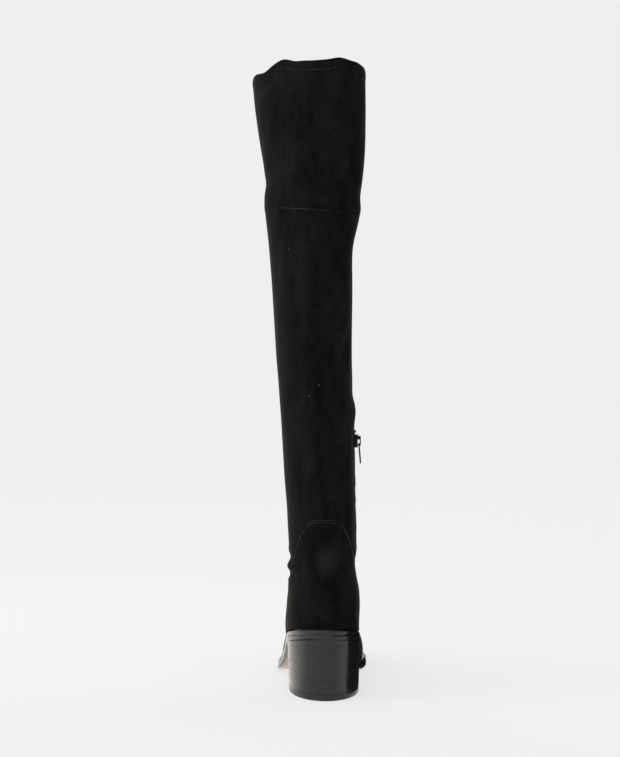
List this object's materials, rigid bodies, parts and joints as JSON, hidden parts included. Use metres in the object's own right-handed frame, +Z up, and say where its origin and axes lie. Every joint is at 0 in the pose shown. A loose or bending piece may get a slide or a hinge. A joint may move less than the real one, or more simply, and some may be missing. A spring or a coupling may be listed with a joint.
{
  "type": "over-the-knee boot",
  "caption": "Over-the-knee boot for the left foot, in black stretch suede, with a thigh panel above a knee seam, a short inner zip and a stacked block heel.",
  "frame": {"origin": "on the ground, in the middle of the heel's top lift", "axes": "+Z up the shaft, +Y from heel to toe, +X to the inner, medial side of this left boot"},
  "size_m": [0.1132, 0.2589, 0.6026],
  "materials": {
    "suede": "soft napped stretch suede, very dark, matt with a faint sheen",
    "insole_leather": "smooth matt",
    "sole_edge": "painted and polished edge",
    "sole_leather": "natural sole leather, satin",
    "stacked_heel": "stacked layers, painted black and polished to a gloss",
    "heel_rubber": "satin",
    "zip_chain": "black coils on a woven tape",
    "black_metal": "black lacquered, glossy"
  },
  "bodies": {
    "boot": {"upper": "suede", "counter": "suede", "insole": "insole_leather", "midsole": "sole_edge", "outsole": "sole_leather", "heel": "stacked_heel", "top_lift": "heel_rubber", "zip": "zip_chain", "zip_slider": "black_metal"},
    "zip_pull": {"zip_pull": "black_metal"}
  },
  "joints": [
    {"name": "zip_pull_swing", "type": "hinge", "parent": "boot", "child": "zip_pull", "pos_m": [0.03309, 0.0165, 0.23981], "axis": [0, -1, 0], "range_deg": [-6, 120]}
  ]
}
